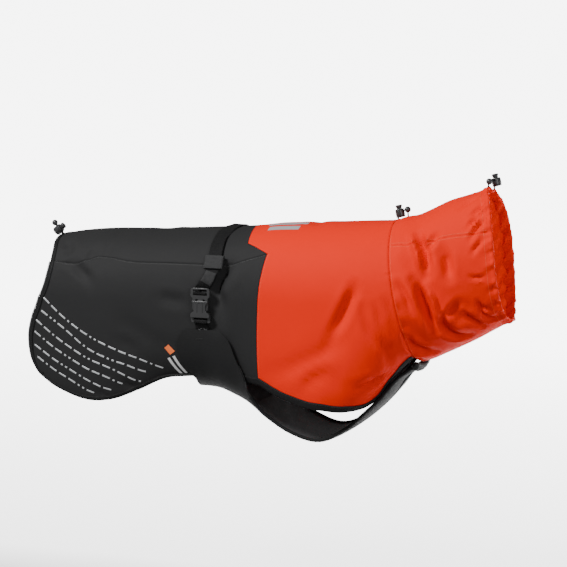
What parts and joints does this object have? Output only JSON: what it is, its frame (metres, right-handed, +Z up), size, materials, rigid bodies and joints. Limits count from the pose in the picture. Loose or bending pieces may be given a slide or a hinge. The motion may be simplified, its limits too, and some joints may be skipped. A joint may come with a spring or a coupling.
{
  "type": "dog raincoat",
  "caption": "Hollow dog raincoat with a high stand collar, thigh covers, a belly panel between the front legs, a girth strap with side-release buckles and drawcords with cord locks.",
  "frame": {"origin": "in the thickness of the back's cloth on its ridge, where the wearer's back carries the coat, 40 mm in front of the seam between the black back and the orange front", "axes": "+X along the back towards the head, +Z up, -Y is the wearer's right side"},
  "size_m": [0.7269, 0.2154, 0.3943],
  "materials": {
    "orange_cloth": "coated rain cloth, soft sheen",
    "black_cloth": "matte softshell weave",
    "grey_lining": "silvery coated inside",
    "black_webbing": "woven webbing",
    "grey_webbing": "knitted elastic webbing",
    "reflective_tape": "retro-reflective silver",
    "black_plastic": "satin moulded plastic",
    "elastic_cord": "braided sheath"
  },
  "bodies": {
    "root": {"back_yoke": "black_cloth", "side_panel_right": "black_cloth", "side_panel_left": "black_cloth", "front_shell": "orange_cloth", "collar_top": "orange_cloth", "collar_bottom": "orange_cloth", "collar_hem": "orange_cloth", "belly_panel": "black_cloth", "belly_lining": "grey_lining", "front_binding_right": "black_cloth", "front_binding_left": "black_cloth", "rear_binding_right": "black_cloth", "rear_binding_left": "black_cloth", "strip_binding_right": "black_cloth", "strip_binding_left": "black_cloth", "tail_casing": "black_cloth", "rear_piping_right": "reflective_tape", "rear_piping_left": "reflective_tape", "girth_strap": "black_webbing", "strap_end_right": "grey_webbing", "strap_end_left": "grey_webbing", "strap_keeper_right": "grey_webbing", "strap_keeper_left": "grey_webbing", "buckle_plug_right": "black_plastic", "buckle_plug_left": "black_plastic", "buckle_socket_right": "black_plastic", "buckle_socket_left": "black_plastic", "buckle_tab_right": "black_webbing", "buckle_tab_left": "black_webbing", "tail_lock_barrel": "black_plastic", "tail_lock_plunger": "black_plastic", "tail_cord_bead": "black_plastic", "neck_lock_barrel": "black_plastic", "neck_lock_plunger": "black_plastic", "neck_cord_bead": "black_plastic", "rim_lock_barrel": "black_plastic", "rim_lock_plunger": "black_plastic", "rim_cord_bead": "black_plastic", "tail_cord_right": "elastic_cord", "tail_cord_left": "elastic_cord", "neck_cord_main": "elastic_cord", "neck_cord_leg": "elastic_cord", "neck_cord_foot": "elastic_cord", "rim_cord_main": "elastic_cord", "rim_cord_leg": "elastic_cord", "rim_cord_foot": "elastic_cord"}
  },
  "joints": []
}
